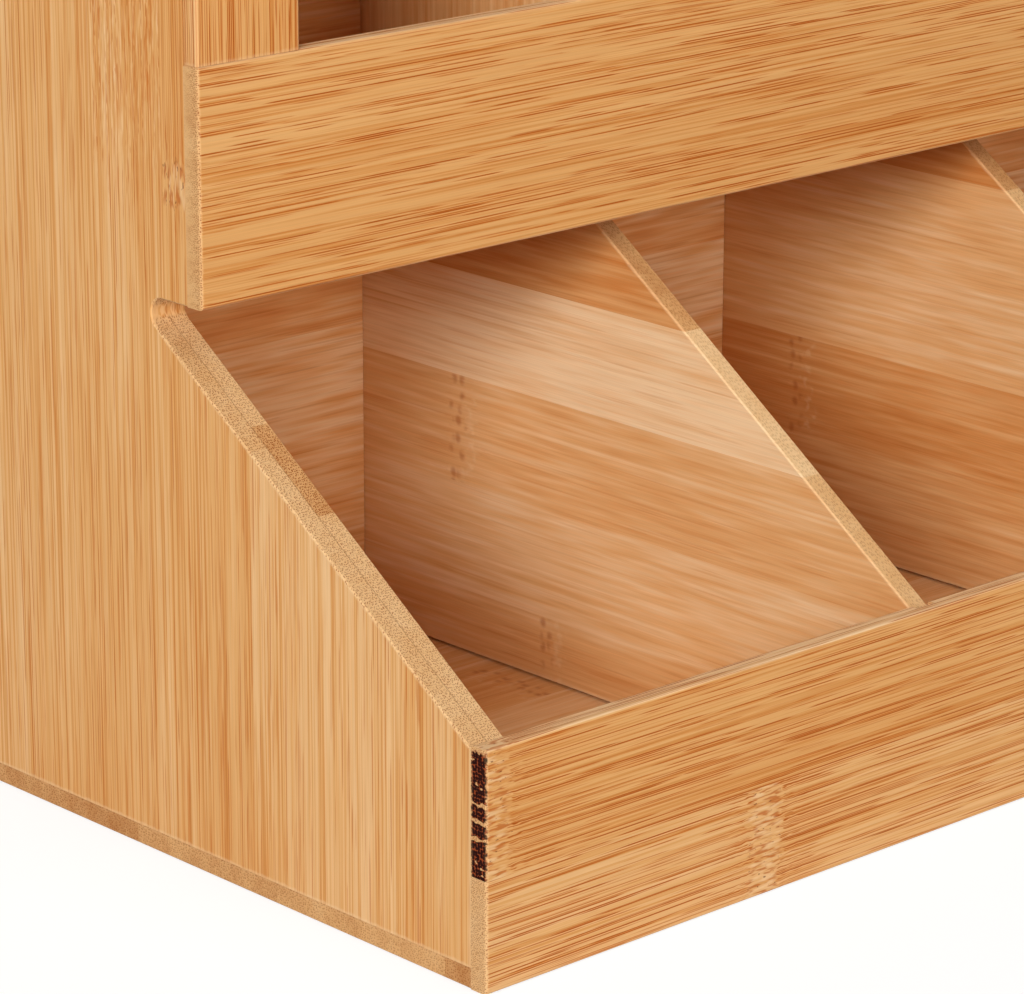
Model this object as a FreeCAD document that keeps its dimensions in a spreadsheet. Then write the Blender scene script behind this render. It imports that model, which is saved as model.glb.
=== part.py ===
"""Tea bag organizer box of laminated bamboo boards.

Open trays with sloping sides stand in front; a shelf above them carries windowed cells that close
with a hinged lid. Millimetres, +Z up, the front faces -Y, the origin is the middle of the footprint.
"""
import FreeCAD
import Part
import Sketcher
import os

doc = FreeCAD.newDocument("TeaOrganizer")
sheet = doc.addObject("Spreadsheet::Sheet", "Sizes")

SIZES = (
    ("columns", "3"),
    ("cell_width", "102.5"),
    ("side_thickness", "8"),
    ("board_thickness", "4"),
    ("divider_thickness", "4.6"),
    ("back_thickness", "4"),
    ("box_depth", "163.5"),
    ("box_height", "260"),
    ("lip_height", "45"),
    ("upper_setback", "75"),
    ("tier_height", "107.5"),
    ("shelf_lift", "2"),
    ("lintel_height", "44"),
    ("rail_height", "23.5"),
    ("end_stile_width", "23.5"),
    ("mid_stile_width", "41"),
    ("slope_drop", "0.6"),
    ("notch_reach", "17.3"),
    ("notch_radius", "3"),
    ("groove_depth", "1.8"),
    ("groove_clearance", "0.1"),
    ("divider_foot_gap", "0.6"),
    ("edge_radius", "0.6"),
    ("arris", "0.3"),
    ("lid_thickness", "8"),
    ("lid_overhang", "6"),
    ("lid_gap", "0.4"),
    ("hinge_length", "25"),
    ("hinge_inset", "50"),
    ("leaf_thickness", "1"),
    ("box_leaf_width", "10"),
    ("lid_leaf_width", "6.8"),
    ("leaf_corner", "1.5"),
    ("knuckle_radius", "1.8"),
    ("knuckle_offset", "0.35"),
    ("knuckle_gap", "0.35"),
    ("pin_radius", "0.9"),
    ("pin_clearance", "0.05"),
    ("screw_radius", "0.9"),
    ("screw_head_radius", "1.7"),
    ("screw_length", "3.6"),
    ("screw_clearance", "0.05"),
    ("screw_spacing", "14"),
    ("box_screw_drop", "6"),
    ("slot_width", "0.5"),
    ("slot_depth", "0.35"),
)

for row, (name, number) in enumerate(SIZES, 1):
    sheet.set("A%d" % row, name)
    sheet.set("B%d" % row, number)
    sheet.setAlias("B%d" % row, name)
doc.recompute()

# Places that several pieces share, as expressions of the sheet's cells.
WIDTH = ("(2 * Sizes.side_thickness + Sizes.columns * Sizes.cell_width"
         " + (Sizes.columns - 1) * Sizes.divider_thickness)")
PITCH = "(Sizes.cell_width + Sizes.divider_thickness)"
FIRST_DIVIDER = "(Sizes.side_thickness + Sizes.cell_width)"
BACK_FACE = "(Sizes.box_depth - Sizes.back_thickness)"
UPPER_BACK = "(Sizes.upper_setback + Sizes.board_thickness)"
SHELF_UNDER = "(Sizes.tier_height + Sizes.shelf_lift)"
SHELF_TOP = "(%s + Sizes.board_thickness)" % SHELF_UNDER
LINTEL_TOP = "(Sizes.tier_height + Sizes.lintel_height)"
RAIL_UNDER = "(Sizes.box_height - Sizes.rail_height)"
TONGUE = "(Sizes.groove_depth - Sizes.groove_clearance)"
GROOVE_WIDTH = "(Sizes.divider_thickness + 2 * Sizes.groove_clearance)"
SLOPE_TOP = "(%s + Sizes.notch_reach)" % UPPER_BACK
SLOPE_FOOT = "(Sizes.lip_height - Sizes.slope_drop)"
SLOPE = "((Sizes.tier_height - %s) / (%s - Sizes.board_thickness))" % (SLOPE_FOOT, SLOPE_TOP)
LID_DEPTH = "(Sizes.box_depth - Sizes.upper_setback + Sizes.lid_overhang)"
LID_UNDER = "(Sizes.box_height + Sizes.lid_gap)"
HINGE_STANDOFF = "(Sizes.knuckle_radius + Sizes.knuckle_offset)"
HINGE_HEIGHT = "(Sizes.box_height + Sizes.lid_gap / 2)"
KNUCKLE = "((Sizes.hinge_length - 2 * Sizes.knuckle_gap) / 3)"
KNUCKLE_STEP = "(%s + Sizes.knuckle_gap)" % KNUCKLE
LEAF_CLEAR = "(Sizes.knuckle_radius + Sizes.knuckle_gap)"
BORE_RADIUS = "(Sizes.pin_radius + Sizes.pin_clearance)"
PILOT_RADIUS = "(Sizes.screw_radius + Sizes.screw_clearance)"
PILOT_DEPTH = "(Sizes.screw_length - Sizes.leaf_thickness + Sizes.screw_clearance)"
SINK = "(Sizes.screw_head_radius - Sizes.screw_radius)"
SLOT_LENGTH = "(3 * Sizes.screw_head_radius)"
LEFT = "(-%s / 2)" % WIDTH
FRONT = "(-(Sizes.box_depth + %s + Sizes.knuckle_radius) / 2)" % HINGE_STANDOFF
HINGE_LEFTS = {
    "left": "(Sizes.hinge_inset - Sizes.hinge_length / 2)",
    "right": "(%s - Sizes.hinge_inset - Sizes.hinge_length / 2)" % WIDTH,
}

pieces = []

# Two places nearer than this are the same place, in millimetres.
SAME_PLACE = 1e-4
MM3_IN_CM3 = 1000


def value(expression):
    """Number that an expression of the sheet gives, in millimetres."""
    return float(sheet.evalExpression(expression))


def body_at(label, across, depth, up):
    """New body whose own origin stands at a place counted from the box's front left bottom corner."""
    body = doc.addObject("PartDesign::Body", label)
    body.Label = label
    body.setExpression("Placement.Base.x", "%s + %s" % (LEFT, across))
    body.setExpression("Placement.Base.y", "%s + %s" % (FRONT, depth))
    body.setExpression("Placement.Base.z", up)
    pieces.append(body)
    return body


def sketch_on(body, name, role, offset=None):
    """Sketch on one of the body's origin planes, moved along that plane's normal by offset."""
    plane = [item for item in body.Origin.OriginFeatures if item.Role == role][0]
    sketch = body.newObject("Sketcher::SketchObject", body.Name + "_" + name)
    sketch.AttachmentSupport = [(plane, "")]
    sketch.MapMode = "FlatFace"
    if offset is not None:
        sketch.setExpression("AttachmentOffset.Base.z", offset)
    return sketch


def pin_point(sketch, item, position, across, up):
    """Tie one point of a sketch to its two coordinates, both counted from the sketch's origin."""
    for kind, axis, expression in (("DistanceX", -2, across), ("DistanceY", -1, up)):
        if expression == "0":
            sketch.addConstraint(Sketcher.Constraint("PointOnObject", item, position, axis))
            continue
        tie = Sketcher.Constraint(kind, -1, 1, item, position, value(expression))
        sketch.setExpression("Constraints[%d]" % sketch.addConstraint(tie), expression)


def polygon(sketch, corners):
    """Closed outline through corners, each given as two expressions."""
    points = [FreeCAD.Vector(value(across), value(up), 0) for across, up in corners]
    following = points[1:] + points[:1]
    for start, end in zip(points, following):
        sketch.addGeometry(Part.LineSegment(start, end))
    for index in range(len(points)):
        joined = (index + 1) % len(points)
        sketch.addConstraint(Sketcher.Constraint("Coincident", index, 2, joined, 1))
    for index, (across, up) in enumerate(corners):
        pin_point(sketch, index, 1, across, up)


def rectangle(sketch, left, bottom, width, height):
    """Upright rectangle from its lower left corner."""
    right = width if left == "0" else "%s + %s" % (left, width)
    top = height if bottom == "0" else "%s + %s" % (bottom, height)
    polygon(sketch, ((left, bottom), (right, bottom), (right, top), (left, top)))


def circle(sketch, across, up, radius):
    """Circle about a point."""
    centre = FreeCAD.Vector(value(across), value(up), 0)
    item = sketch.addGeometry(Part.Circle(centre, FreeCAD.Vector(0, 0, 1), value(radius)))
    pin_point(sketch, item, 3, across, up)
    tie = Sketcher.Constraint("Radius", item, value(radius))
    sketch.setExpression("Constraints[%d]" % sketch.addConstraint(tie), radius)


def pad(body, sketch, length, reverse=False):
    """Raise a sketch into a solid."""
    feature = body.newObject("PartDesign::Pad", sketch.Name + "_pad")
    feature.Profile = sketch
    feature.Reversed = reverse
    feature.setExpression("Length", length)
    return feature


def pocket(body, sketch, length, reverse=False):
    """Cut a sketch into the solid."""
    feature = body.newObject("PartDesign::Pocket", sketch.Name + "_cut")
    feature.Profile = sketch
    feature.Reversed = reverse
    feature.setExpression("Length", length)
    return feature


def repeat(body, feature, spacing, count):
    """Copies of one feature at an even spacing along the body's X axis."""
    doc.recompute()
    axis = [item for item in body.Origin.OriginFeatures if item.Role == "X_Axis"][0]
    pattern = body.newObject("PartDesign::LinearPattern", feature.Name + "_row")
    pattern.Originals = [feature]
    pattern.Direction = (axis, [""])
    pattern.Mode = "Spacing"
    pattern.setExpression("Offset", spacing)
    pattern.setExpression("Occurrences", count)
    body.Tip = pattern
    return pattern


def dress(body, kind, size, wanted):
    """Round or chamfer those edges of the body's latest feature that wanted(edge) picks."""
    doc.recompute()
    base = body.Tip
    picked = ["Edge%d" % (i + 1) for i, edge in enumerate(base.Shape.Edges) if wanted(edge)]
    feature = body.newObject("PartDesign::" + kind, base.Name + "_" + kind.lower())
    feature.Base = (base, picked)
    feature.setExpression("Radius" if kind == "Fillet" else "Size", size)
    return feature


def lies_on(edge, axis, place):
    """Whether both ends of an edge lie on the plane at a place along one axis."""
    return all(abs(getattr(vertex, axis) - place) < SAME_PLACE for vertex in edge.Vertexes)


def front_board(label, across, depth, up, width, height, eased):
    """Upright board in the XZ plane; eased(edge, width, height) picks the edges that are rounded."""
    body = body_at(label, across, depth, up)
    outline = sketch_on(body, "outline", "XZ_Plane")
    rectangle(outline, "0", "0", width, height)
    pad(body, outline, "Sizes.board_thickness", reverse=True)
    wide = value(width)
    high = value(height)
    dress(body, "Fillet", "Sizes.edge_radius", lambda edge: eased(edge, wide, high))
    return body


def divider_grooves(body, first, bottom, height, rear_face=None, count="Sizes.columns - 1"):
    """Upright grooves for the dividers in an upright board: in its rear face, or else in its front."""
    rear = rear_face is not None
    sketch = sketch_on(body, "groove", "XZ_Plane", "-%s" % rear_face if rear else None)
    rectangle(sketch, "%s - Sizes.groove_clearance" % first, bottom, GROOVE_WIDTH, height)
    cut = pocket(body, sketch, "Sizes.groove_depth", reverse=rear)
    if count is not None:
        repeat(body, cut, PITCH, count)


def side_panel(side):
    """Side with the sloping front edge, the rounded notch under the lintel and the shelf's groove."""
    left = side == "left"
    across = "0" if left else "%s - Sizes.side_thickness" % WIDTH
    foot = "Sizes.board_thickness"
    body = body_at("side_panel_" + side, across, foot, foot)
    rear = "%s - %s" % (BACK_FACE, foot)
    top = "Sizes.box_height - %s" % foot
    upper_front = "Sizes.upper_setback"
    under = "Sizes.tier_height - %s" % foot
    apex = "%s - %s" % (SLOPE_TOP, foot)
    outline = sketch_on(body, "outline", "YZ_Plane")
    polygon(outline, (("0", "0"), (rear, "0"), (rear, top), (upper_front, top), (upper_front, under),
                      (apex, under), ("0", "%s - %s" % (SLOPE_FOOT, foot))))
    pad(body, outline, "Sizes.side_thickness")

    def in_apex(edge):
        return lies_on(edge, "Y", value(apex)) and lies_on(edge, "Z", value(under))

    dress(body, "Fillet", "Sizes.notch_radius", in_apex)

    def on_slope_or_notch(edge):
        across_board = abs(edge.Vertexes[0].X - edge.Vertexes[1].X) > SAME_PLACE
        joints = (lies_on(edge, "Z", 0), lies_on(edge, "Z", value(top)), lies_on(edge, "Y", 0),
                  lies_on(edge, "Y", value(rear)), lies_on(edge, "Y", value(upper_front)))
        return not across_board and not any(joints)

    dress(body, "Chamfer", "Sizes.arris", on_slope_or_notch)
    inner = sketch_on(body, "shelf_groove", "YZ_Plane", "Sizes.side_thickness" if left else None)
    rectangle(inner, upper_front, "%s - Sizes.groove_clearance - %s" % (SHELF_UNDER, foot),
              "%s - %s" % (BACK_FACE, UPPER_BACK), "Sizes.board_thickness + 2 * Sizes.groove_clearance")
    pocket(body, inner, "Sizes.groove_depth", reverse=not left)
    return body


def tray_divider(number):
    """Lower divider: its front edge follows the slope of the sides, its ends sit in grooves."""
    across = "%s + %d * %s" % (FIRST_DIVIDER, number - 1, PITCH)
    front = "(Sizes.board_thickness - %s)" % TONGUE
    foot = "(Sizes.board_thickness + Sizes.divider_foot_gap)"
    body = body_at("tray_divider_%d" % number, across, front, foot)
    rear = "%s + %s - %s" % (BACK_FACE, TONGUE, front)
    top = "%s - %s" % (SHELF_UNDER, foot)
    apex = "%s + Sizes.shelf_lift / %s - %s" % (SLOPE_TOP, SLOPE, front)
    tip = "%s - %s * %s - %s" % (SLOPE_FOOT, TONGUE, SLOPE, foot)
    outline = sketch_on(body, "outline", "YZ_Plane")
    polygon(outline, (("0", "0"), (rear, "0"), (rear, top), (apex, top), ("0", tip)))
    pad(body, outline, "Sizes.divider_thickness")

    def sloping(edge):
        start, end = edge.Vertexes
        return abs(start.Y - end.Y) > SAME_PLACE and abs(start.Z - end.Z) > SAME_PLACE

    dress(body, "Chamfer", "Sizes.arris", sloping)
    return body


def cell_divider(number):
    """Upper divider between two cells, from the shelf to the top."""
    across = "%s + %d * %s" % (FIRST_DIVIDER, number - 1, PITCH)
    front = "(%s - %s)" % (UPPER_BACK, TONGUE)
    body = body_at("cell_divider_%d" % number, across, front, SHELF_TOP)
    outline = sketch_on(body, "outline", "YZ_Plane")
    rectangle(outline, "0", "0", "%s + %s - %s" % (BACK_FACE, TONGUE, front),
              "Sizes.box_height - %s" % SHELF_TOP)
    pad(body, outline, "Sizes.divider_thickness")
    return body


def screw_places(height):
    """Centres of the hinge screws across the back, all at one height."""
    places = []
    for start in HINGE_LEFTS.values():
        middle = "%s + Sizes.hinge_length / 2" % start
        places.append(("%s - Sizes.screw_spacing / 2" % middle, height))
        places.append(("%s + Sizes.screw_spacing / 2" % middle, height))
    return places


def screw_holes(body, height, face):
    """Pilot holes in the rear face of a board, for the hinge screws."""
    sketch = sketch_on(body, "pilots", "XZ_Plane", "-%s" % face)
    for across, up in screw_places(height):
        circle(sketch, across, up, PILOT_RADIUS)
    pocket(body, sketch, PILOT_DEPTH, reverse=True)


def hinge_leaf(label, start, up, comb, axis_height, knuckle_start, knuckles, hole_height, corner_height):
    """Leaf with its rolled knuckles, pin bore and countersunk holes, flat against the back."""
    body = body_at(label, start, "Sizes.box_depth", up)
    plate = sketch_on(body, "plate", "XZ_Plane")
    polygon(plate, comb)
    pad(body, plate, "Sizes.leaf_thickness", reverse=True)

    def outer_corner(edge):
        ends = lies_on(edge, "X", 0) or lies_on(edge, "X", value("Sizes.hinge_length"))
        return ends and lies_on(edge, "Z", value(corner_height))

    dress(body, "Fillet", "Sizes.leaf_corner", outer_corner)
    barrel = sketch_on(body, "barrel", "YZ_Plane", knuckle_start)
    circle(barrel, HINGE_STANDOFF, axis_height, "Sizes.knuckle_radius")
    rolled = pad(body, barrel, KNUCKLE)
    if knuckles == 2:
        repeat(body, rolled, "2 * %s" % KNUCKLE_STEP, "2")
    bore = sketch_on(body, "bore", "YZ_Plane")
    circle(bore, HINGE_STANDOFF, axis_height, BORE_RADIUS)
    pocket(body, bore, "Sizes.hinge_length", reverse=True)
    holes = sketch_on(body, "holes", "XZ_Plane")
    middle = "Sizes.hinge_length / 2"
    circle(holes, "%s - Sizes.screw_spacing / 2" % middle, hole_height, PILOT_RADIUS)
    circle(holes, "%s + Sizes.screw_spacing / 2" % middle, hole_height, PILOT_RADIUS)
    pocket(body, holes, "Sizes.leaf_thickness")

    def rim(edge):
        round_edge = isinstance(edge.Curve, Part.Circle)
        radius = value(PILOT_RADIUS)
        on_face = lies_on(edge, "Y", value("Sizes.leaf_thickness"))
        return round_edge and on_face and abs(edge.Curve.Radius - radius) < SAME_PLACE

    dress(body, "Chamfer", SINK, rim)
    return body


def hinge_screws(label, height, up):
    """Countersunk slotted screws of one set of leaves, as a group of separate solids."""
    turn = FreeCAD.Rotation(FreeCAD.Vector(1, 0, 0), 90)
    face = "%s + Sizes.box_depth + Sizes.leaf_thickness" % FRONT
    group = []
    for number, (across, rise) in enumerate(screw_places(height), 1):
        name = "%s_%d" % (label, number)
        head = doc.addObject("Part::Cone", name + "_head")
        head.setExpression("Radius1", "Sizes.screw_head_radius")
        head.setExpression("Radius2", "Sizes.screw_radius")
        head.setExpression("Height", SINK)
        shank = doc.addObject("Part::Cylinder", name + "_shank")
        shank.setExpression("Radius", "Sizes.screw_radius")
        shank.setExpression("Height", "Sizes.screw_length")
        slot = doc.addObject("Part::Box", name + "_slot")
        slot.setExpression("Length", SLOT_LENGTH)
        slot.setExpression("Width", "Sizes.slot_width")
        slot.setExpression("Height", "Sizes.slot_depth")
        for item in (head, shank, slot):
            item.Placement = FreeCAD.Placement(FreeCAD.Vector(0, 0, 0), turn)
            item.setExpression("Placement.Base.x", "%s + %s" % (LEFT, across))
            item.setExpression("Placement.Base.y", face)
            item.setExpression("Placement.Base.z", "%s + %s" % (up, rise))
        slot.setExpression("Placement.Base.x", "%s + %s - %s / 2" % (LEFT, across, SLOT_LENGTH))
        slot.setExpression("Placement.Base.z", "%s + %s - Sizes.slot_width / 2" % (up, rise))
        whole = doc.addObject("Part::Fuse", name + "_whole")
        whole.Base = head
        whole.Tool = shank
        screw = doc.addObject("Part::Cut", name)
        screw.Base = whole
        screw.Tool = slot
        group.append(screw)
    screws = doc.addObject("Part::Compound", label)
    screws.Label = label
    screws.Links = group
    pieces.append(screws)


def front_and_top(edge, wide, high):
    """Edges of the front face and of the top face."""
    return lies_on(edge, "Y", 0) or lies_on(edge, "Z", high)


def front_only(edge, wide, high):
    """Edges of the front face."""
    return lies_on(edge, "Y", 0)


def upright_edges(edge, wide, high):
    """The four upright edges."""
    ends = lies_on(edge, "X", 0) or lies_on(edge, "X", wide)
    return ends and abs(edge.Vertexes[0].Z - edge.Vertexes[1].Z) > SAME_PLACE


dividers = range(1, int(value("Sizes.columns")))

# Lower tier.
base = body_at("base_panel", "0", "Sizes.board_thickness", "0")
base_outline = sketch_on(base, "outline", "XY_Plane")
rectangle(base_outline, "0", "0", WIDTH, "%s - Sizes.board_thickness" % BACK_FACE)
pad(base, base_outline, "Sizes.board_thickness")


def base_ends(edge):
    ends = lies_on(edge, "X", 0) or lies_on(edge, "X", value(WIDTH))
    return ends and abs(edge.Vertexes[0].Y - edge.Vertexes[1].Y) > SAME_PLACE


dress(base, "Chamfer", "Sizes.arris", base_ends)

side_panel("left")
side_panel("right")

lip = front_board("tray_lip", "0", "0", "0", WIDTH, "Sizes.lip_height", front_and_top)
divider_grooves(lip, FIRST_DIVIDER, "Sizes.board_thickness",
                "Sizes.lip_height - Sizes.board_thickness", "Sizes.board_thickness")
for place in dividers:
    tray_divider(place)

# Upper tier.
shelf = body_at("shelf_panel", "Sizes.side_thickness - %s" % TONGUE, UPPER_BACK, SHELF_UNDER)
shelf_outline = sketch_on(shelf, "outline", "XY_Plane")
rectangle(shelf_outline, "0", "0", "%s - 2 * Sizes.side_thickness + 2 * %s" % (WIDTH, TONGUE),
          "%s - %s" % (BACK_FACE, UPPER_BACK))
pad(shelf, shelf_outline, "Sizes.board_thickness")

lintel = front_board("lintel", "0", "Sizes.upper_setback", "Sizes.tier_height", WIDTH,
                     "Sizes.lintel_height", front_and_top)
divider_grooves(lintel, FIRST_DIVIDER, "%s - Sizes.tier_height" % SHELF_TOP,
                "%s - %s" % (LINTEL_TOP, SHELF_TOP), "Sizes.board_thickness")

STILE_HEIGHT = "%s - %s" % (RAIL_UNDER, LINTEL_TOP)
front_board("end_stile_left", "0", "Sizes.upper_setback", LINTEL_TOP, "Sizes.end_stile_width",
            STILE_HEIGHT, upright_edges)
front_board("end_stile_right", "%s - Sizes.end_stile_width" % WIDTH, "Sizes.upper_setback", LINTEL_TOP,
            "Sizes.end_stile_width", STILE_HEIGHT, upright_edges)
GROOVE_IN_STILE = "(Sizes.mid_stile_width - Sizes.divider_thickness) / 2"
for place in dividers:
    stile_left = "%s + %d * %s - %s" % (FIRST_DIVIDER, place - 1, PITCH, GROOVE_IN_STILE)
    stile = front_board("mid_stile_%d" % place, stile_left, "Sizes.upper_setback", LINTEL_TOP,
                        "Sizes.mid_stile_width", STILE_HEIGHT, upright_edges)
    divider_grooves(stile, GROOVE_IN_STILE, "0", STILE_HEIGHT, "Sizes.board_thickness", count=None)

rail = front_board("top_rail", "0", "Sizes.upper_setback", RAIL_UNDER, WIDTH, "Sizes.rail_height",
                   front_only)
divider_grooves(rail, FIRST_DIVIDER, "0", "Sizes.rail_height", "Sizes.board_thickness")

for place in dividers:
    cell_divider(place)

# Back, behind both tiers.
back = body_at("back_panel", "0", BACK_FACE, "0")
back_outline = sketch_on(back, "outline", "XZ_Plane")
rectangle(back_outline, "0", "0", WIDTH, "Sizes.box_height")
pad(back, back_outline, "Sizes.back_thickness", reverse=True)
dress(back, "Fillet", "Sizes.edge_radius", lambda edge: lies_on(edge, "Y", value("Sizes.back_thickness")))
divider_grooves(back, FIRST_DIVIDER, "Sizes.board_thickness",
                "Sizes.box_height - Sizes.board_thickness")
BOX_SCREW_HEIGHT = "%s - Sizes.box_screw_drop" % HINGE_HEIGHT
screw_holes(back, BOX_SCREW_HEIGHT, "Sizes.back_thickness")

# Lid with its hinges.
lid = body_at("lid_panel", "0", "Sizes.upper_setback - Sizes.lid_overhang", LID_UNDER)
lid_outline = sketch_on(lid, "outline", "XY_Plane")
rectangle(lid_outline, "0", "0", WIDTH, LID_DEPTH)
pad(lid, lid_outline, "Sizes.lid_thickness")
dress(lid, "Fillet", "Sizes.edge_radius", lambda edge: True)
screw_holes(lid, "Sizes.lid_thickness / 2", LID_DEPTH)

for hand, hinge_left in HINGE_LEFTS.items():
    drop = "Sizes.box_leaf_width"
    length = "Sizes.hinge_length"
    shoulder = "%s - %s" % (drop, LEAF_CLEAR)
    inner = "%s - %s" % (length, KNUCKLE)
    box_comb = (("0", "0"), (length, "0"), (length, drop), (inner, drop), (inner, shoulder),
                (KNUCKLE, shoulder), (KNUCKLE, drop), ("0", drop))
    hinge_leaf("hinge_leaf_box_" + hand, hinge_left, "%s - %s" % (HINGE_HEIGHT, drop), box_comb, drop,
               None, 2, "%s - Sizes.box_screw_drop" % drop, "0")
    low = "Sizes.knuckle_radius"
    shoulder = "%s + %s" % (low, LEAF_CLEAR)
    rise = "%s + Sizes.lid_leaf_width" % low
    far = "%s + %s" % (KNUCKLE_STEP, KNUCKLE)
    lid_comb = ((KNUCKLE_STEP, low), (far, low), (far, shoulder), (length, shoulder), (length, rise),
                ("0", rise), ("0", shoulder), (KNUCKLE_STEP, shoulder))
    lid_hole = "%s + Sizes.lid_gap / 2 + Sizes.lid_thickness / 2" % low
    hinge_leaf("hinge_leaf_lid_" + hand, hinge_left, "%s - %s" % (HINGE_HEIGHT, low), lid_comb, low,
               KNUCKLE_STEP, 1, lid_hole, rise)
    pin = body_at("hinge_pin_" + hand, hinge_left, "Sizes.box_depth", "%s - %s" % (HINGE_HEIGHT, low))
    pin_outline = sketch_on(pin, "outline", "YZ_Plane")
    circle(pin_outline, HINGE_STANDOFF, low, "Sizes.pin_radius")
    pad(pin, pin_outline, length)
    dress(pin, "Chamfer", "Sizes.arris", lambda edge: isinstance(edge.Curve, Part.Circle))

hinge_screws("hinge_screws_box", BOX_SCREW_HEIGHT, "0")
hinge_screws("hinge_screws_lid", "Sizes.lid_thickness / 2", LID_UNDER)

doc.recompute()

faults = [item.Label for item in doc.Objects if "Invalid" in item.State or "Error" in item.State]
faults += [item.Label for item in pieces if item.Shape.isNull() or not item.Shape.isValid()]
if faults:
    raise RuntimeError("Faulty objects: " + ", ".join(faults))

os.makedirs("parts", exist_ok=True)
for item in pieces:
    item.Shape.exportStep("parts/%s.step" % item.Label)
    print(item.Label, len(item.Shape.Solids), "solid(s)", round(item.Shape.Volume / MM3_IN_CM3, 3), "cm3")
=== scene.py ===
import random
from math import cos, radians, sin
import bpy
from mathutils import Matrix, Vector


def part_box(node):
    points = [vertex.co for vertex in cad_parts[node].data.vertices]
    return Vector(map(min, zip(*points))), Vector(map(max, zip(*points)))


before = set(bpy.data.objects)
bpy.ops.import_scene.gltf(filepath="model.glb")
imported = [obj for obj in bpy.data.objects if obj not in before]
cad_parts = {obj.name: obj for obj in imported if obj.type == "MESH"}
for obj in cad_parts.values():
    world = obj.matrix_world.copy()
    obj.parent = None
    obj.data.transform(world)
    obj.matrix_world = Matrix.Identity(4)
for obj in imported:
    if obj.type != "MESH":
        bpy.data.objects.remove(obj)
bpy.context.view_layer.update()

from types import SimpleNamespace

import bpy
from mathutils import Matrix, Vector

MM = 0.001

# The row frame's origin seen from the box's left front bottom corner, in millimetres.
ORIGIN_X, ORIGIN_Y = 166.35, 83.725


# Colours of the materials.

def srgb(red, green, blue):
    """A colour written as 8-bit sRGB, as linear RGBA."""
    def linear(value):
        c = value / 255.0
        return c / 12.92 if c <= 0.04045 else ((c + 0.055) / 1.055) ** 2.4
    return (linear(red), linear(green), linear(blue), 1.0)


# Board colours by tone, from dark to pale.
FACE_COLOURS = (
    (0.00, srgb(190, 111, 44)),
    (0.35, srgb(210, 145, 78)),
    (0.62, srgb(223, 169, 107)),
    (1.00, srgb(242, 206, 160)),
)
END_COLOURS = (
    (0.00, srgb(176, 112, 58)),
    (0.45, srgb(217, 169, 114)),
    (1.00, srgb(235, 200, 152)),
)
PALE_COLOURS = (
    (0.00, srgb(190, 106, 42)),
    (0.35, srgb(211, 145, 83)),
    (0.62, srgb(226, 173, 116)),
    (1.00, srgb(243, 210, 167)),
)
# A redder palette for the back panel: its extra red is painted warm bounce light, as the back is lit mostly
# off the other boards.
BOUNCE_WARMED_COLOURS = (
    (0.00, srgb(202, 112, 48)),
    (0.35, srgb(222, 148, 84)),
    (0.62, srgb(233, 170, 108)),
    (1.00, srgb(246, 206, 158)),
)

# Colours of the marks on the boards.
STREAK = srgb(196, 110, 38)
CORE = srgb(166, 78, 14)
DASH = srgb(184, 98, 36)
# Brown of the culm nodes' dents, partly the nodes' own marks and partly painted shade.
BEAD = srgb(164, 80, 34)
PIT = srgb(122, 58, 20)
PORE = srgb(146, 74, 16)
SCORCH = srgb(36, 6, 1)
SCORCH_WALL = srgb(146, 66, 32)
# Pale sanded wood, also painted as a highlight on the arrises and on the culm nodes' bumps.
SANDED_AND_HIGHLIGHT = srgb(240, 208, 164)
GLUE = srgb(140, 92, 48)

# Colours of the metal, the floor and the light.
HINGE_BRASS = (srgb(150, 112, 54), srgb(205, 166, 92), srgb(228, 196, 126))
SCREW_BRASS = (srgb(112, 78, 34), srgb(158, 118, 58), srgb(196, 156, 88))
WHITE = (1.0, 1.0, 1.0, 1.0)
BOUNCING_FLOOR = (0.66, 0.66, 0.66, 1.0)
SHADOWED_FLOOR = (0.32, 0.32, 0.32, 1.0)
LAMP_WHITE = (1.0, 0.985, 0.96)


# Helpers for building materials.

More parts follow.
